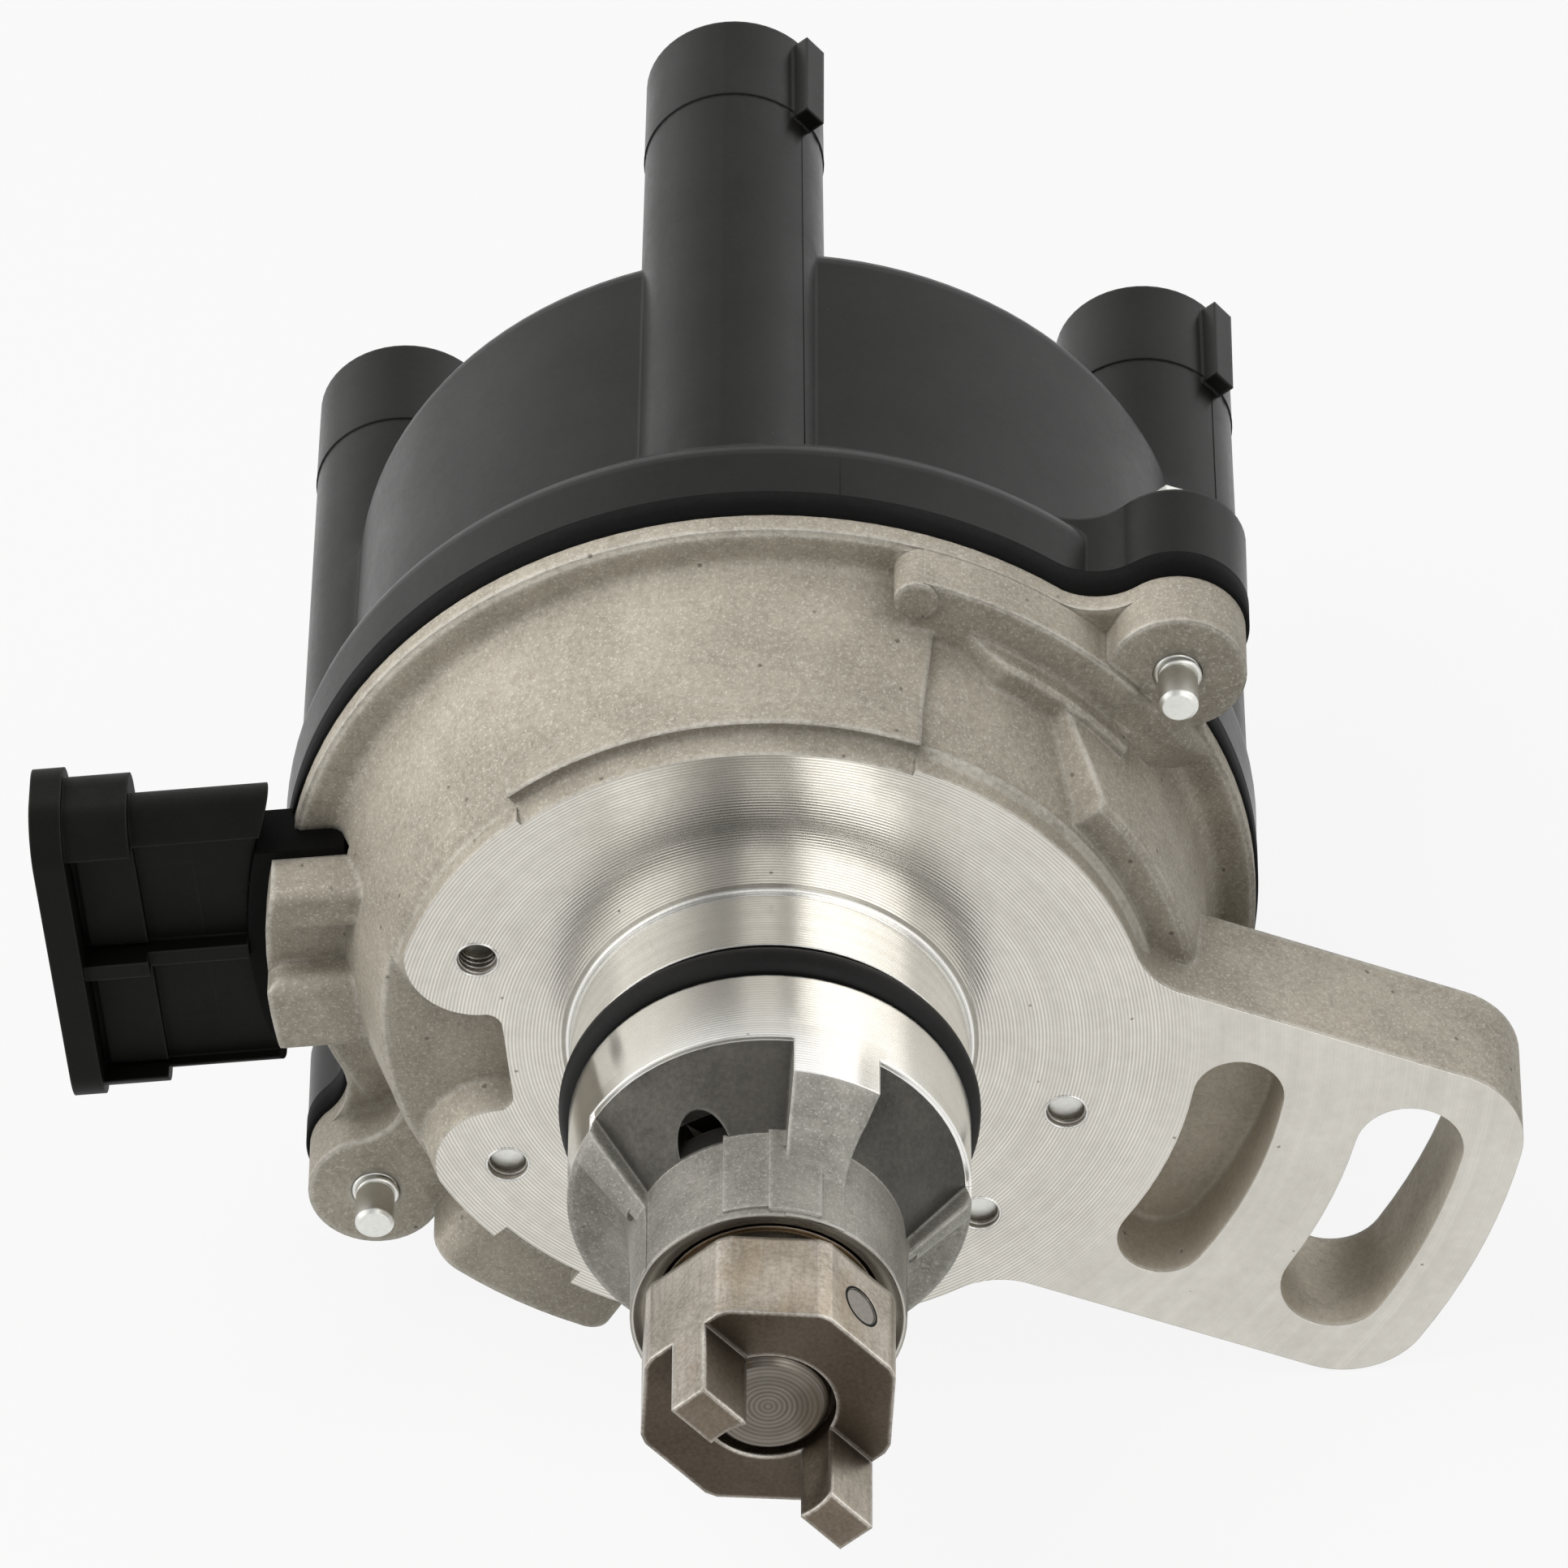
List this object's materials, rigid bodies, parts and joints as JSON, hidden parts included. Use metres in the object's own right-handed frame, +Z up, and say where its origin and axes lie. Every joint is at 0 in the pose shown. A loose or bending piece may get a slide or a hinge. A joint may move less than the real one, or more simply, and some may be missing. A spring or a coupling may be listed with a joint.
{
  "type": "ignition distributor",
  "caption": "Ignition distributor with a cast flange housing, a dark plastic cap with lead towers, a side connector, and a tongued drive coupling on its shaft.",
  "frame": {"origin": "centre of the machined mounting face, on the shaft's axis", "axes": "+Y along the shaft from the engine towards the cap, +Z up as fitted, +X away from the connector, towards the hold-down ear"},
  "size_m": [0.1466, 0.1703, 0.0992],
  "materials": {
    "cast_aluminium": "die-cast, with turned face and pilot",
    "ring_rubber": "smooth, slightly oily",
    "bush_bronze": "sintered and bored",
    "seal_rubber": "moulded",
    "bearing_steel": "ground",
    "spring_steel": "phosphated",
    "sheet_steel": "zinc-plated",
    "zinc_steel": "zinc-plated",
    "core_steel": "stamped, lightly oiled",
    "coil_plastic": "moulded",
    "cover_plastic": "moulded",
    "gasket_rubber": "moulded",
    "cap_plastic": "semi-gloss thermoset",
    "electrode_aluminium": "plain",
    "connector_plastic": "matt, moulded",
    "terminal_brass": "stamped",
    "shaft_steel": "ground",
    "sintered_steel": "sintered, with worn edges",
    "rotor_plastic": "moulded",
    "cage_brass": "stamped",
    "carbon": "pressed carbon"
  },
  "bodies": {
    "base": {"housing": "cast_aluminium", "pilot_o_ring": "ring_rubber", "hub_bush": "bush_bronze", "oil_seal": "seal_rubber", "bearing_outer_race": "bearing_steel", "bearing_retaining_ring": "spring_steel", "pickup_plate": "sheet_steel", "pickup_screws": "zinc_steel", "crank_pickup_core": "core_steel", "crank_pickup_coil": "coil_plastic", "cam_pickup_core": "core_steel", "cam_pickup_coil": "coil_plastic", "dust_cover": "cover_plastic", "cap_gasket": "gasket_rubber", "distributor_cap": "cap_plastic", "side_electrodes": "electrode_aluminium", "centre_terminal": "electrode_aluminium", "cap_screws": "zinc_steel", "connector_shell": "connector_plastic", "connector_terminals": "terminal_brass", "connector_grommet": "gasket_rubber", "brush_spring": "spring_steel"},
    "rotating_group": {"shaft": "shaft_steel", "drive_coupling": "sintered_steel", "coupling_pin": "zinc_steel", "thrust_washer": "shaft_steel", "bearing_inner_race": "bearing_steel", "crank_signal_rotor": "core_steel", "cam_signal_rotor": "core_steel", "rotor_body": "rotor_plastic", "rotor_blade": "terminal_brass", "rotor_screws": "zinc_steel"},
    "ball_set": {"bearing_balls": "bearing_steel", "bearing_cage": "cage_brass"},
    "brush": {"carbon_brush": "carbon"}
  },
  "joints": [
    {"name": "shaft_spin", "type": "hinge", "parent": "base", "child": "rotating_group", "pos_m": [0, 0, 0], "axis": [0, -1, 0], "continuous": true},
    {"name": "ball_set_spin", "type": "hinge", "parent": "base", "child": "ball_set", "pos_m": [0, 0, 0], "axis": [0, -1, 0], "continuous": true},
    {"name": "brush_slide", "type": "slide", "parent": "base", "child": "brush", "axis": [0, 1, 0], "range_m": [0, 0.0015], "stiffness_N_per_m": 300, "springref_m": -0.002, "deforming": ["brush_spring"]}
  ],
  "couplings": [
    {"joint": "ball_set_spin", "follows": "shaft_spin", "ratio": 0.36477}
  ]
}
